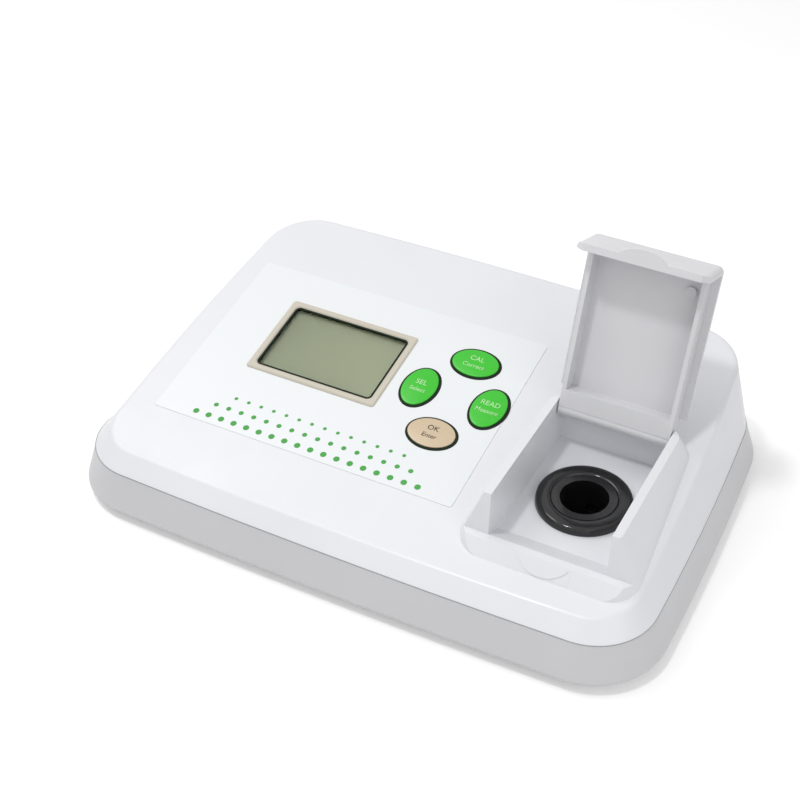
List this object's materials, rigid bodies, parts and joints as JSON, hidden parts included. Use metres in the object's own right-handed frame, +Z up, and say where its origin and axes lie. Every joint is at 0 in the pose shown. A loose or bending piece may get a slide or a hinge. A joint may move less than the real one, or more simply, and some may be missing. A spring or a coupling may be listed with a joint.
{
  "type": "turbidity meter",
  "caption": "Bench turbidity meter with a sloped deck, a printed keypad label with oval keys, a display, and a hinged lid over a level sample chamber with a round vial well.",
  "frame": {"origin": "on the table under the middle of the case, where the soles of the rubber feet stand", "axes": "+X to the right along the long side of the case, +Y to the back, +Z up; the front with the low edge of the deck faces -Y"},
  "size_m": [0.3386, 0.2378, 0.1615],
  "materials": {
    "case_plastic": "satin near-white moulded plastic",
    "skirt_plastic": "satin light grey moulded plastic",
    "foot_rubber": "matt black rubber",
    "screw_steel": "plain steel",
    "label_sheet": "printed film with a faint sheen",
    "bezel_plastic": "satin beige",
    "clear_pane": "clear",
    "display_face": "grey-green display face",
    "circuit_board": "green board with lacquer",
    "gloss_black": "polished black",
    "black_plastic": "matt black",
    "holder_metal": "turned, plain",
    "clear_glass": "clear",
    "panel_plastic": "fine-grained light grey",
    "contact_brass": "bright",
    "core_steel": "laminated core, varnished",
    "key_green": "glossy green",
    "key_beige": "glossy beige"
  },
  "bodies": {
    "case": {"upper_shell": "case_plastic", "lower_shell": "skirt_plastic", "rubber_feet": "foot_rubber", "case_screws": "screw_steel", "keypad_label": "label_sheet", "display_bezel": "bezel_plastic", "display_pane": "clear_pane", "display_frame": "black_plastic", "display_glass": "display_face", "main_board": "circuit_board", "key_switches": "black_plastic", "board_screws": "screw_steel", "well_collar": "gloss_black", "well_sleeve": "black_plastic", "optical_block": "black_plastic", "lamp_holder": "holder_metal", "beam_lens": "clear_glass", "lamp": "clear_glass", "detector_holder": "holder_metal", "light_detector": "circuit_board", "hinge_pins": "screw_steel", "rear_panel": "panel_plastic", "power_inlet": "black_plastic", "inlet_blades": "contact_brass", "rocker_frame": "black_plastic", "power_board": "circuit_board", "transformer": "core_steel"},
    "lid": {"lid": "case_plastic"},
    "upper_key": {"upper_key": "key_green"},
    "lower_key": {"lower_key": "key_beige"},
    "left_key": {"left_key": "key_green"},
    "right_key": {"right_key": "key_green"},
    "power_switch": {"power_rocker": "gloss_black"}
  },
  "joints": [
    {"name": "lid_hinge", "type": "hinge", "parent": "case", "child": "lid", "pos_m": [0.1034, 0.0085, 0.064], "axis": [1, 0, 0], "range_deg": [0, 110]},
    {"name": "upper_key_press", "type": "slide", "parent": "case", "child": "upper_key", "axis": [0, 0.18, -0.9837], "range_m": [0, 0.0008], "stiffness_N_per_m": 400, "springref_m": -0.0005},
    {"name": "lower_key_press", "type": "slide", "parent": "case", "child": "lower_key", "axis": [0, 0.18, -0.9837], "range_m": [0, 0.0008], "stiffness_N_per_m": 400, "springref_m": -0.0005},
    {"name": "left_key_press", "type": "slide", "parent": "case", "child": "left_key", "axis": [0, 0.18, -0.9837], "range_m": [0, 0.0008], "stiffness_N_per_m": 400, "springref_m": -0.0005},
    {"name": "right_key_press", "type": "slide", "parent": "case", "child": "right_key", "axis": [0, 0.18, -0.9837], "range_m": [0, 0.0008], "stiffness_N_per_m": 400, "springref_m": -0.0005},
    {"name": "power_switch_tip", "type": "hinge", "parent": "case", "child": "power_switch", "pos_m": [0.051, 0.0985, 0.043], "axis": [1, 0, 0], "range_deg": [0, 12]}
  ]
}
